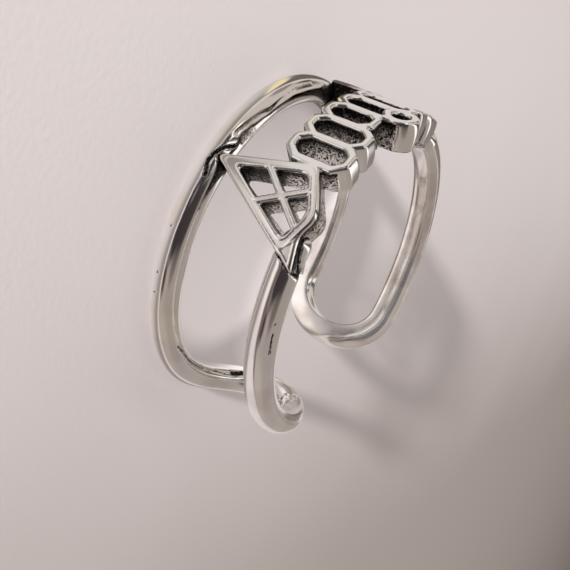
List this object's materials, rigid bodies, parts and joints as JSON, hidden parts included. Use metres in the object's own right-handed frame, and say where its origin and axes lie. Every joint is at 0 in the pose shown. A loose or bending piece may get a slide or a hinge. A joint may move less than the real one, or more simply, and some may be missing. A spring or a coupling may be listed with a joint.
{
  "type": "adjustable open ring",
  "caption": "Adjustable open finger ring in silver wire: parallel rails, a bend closing each end, a pierced openwork frieze between the rails and a gap at the back.",
  "frame": {"origin": "middle of the ring's box in plan, on the surface that the ring lies on", "axes": "+Z along the finger hole, up from the lower rail; +Y towards the frieze, so the gap faces -Y; +X to the right when the gap is nearest"},
  "size_m": [0.0208, 0.0204, 0.0092],
  "materials": {
    "silver": "cast silver, tumble polished, oxidised black in the pockets of the frieze and in the joints"
  },
  "bodies": {
    "root": {"open_ring": "silver"}
  },
  "joints": []
}
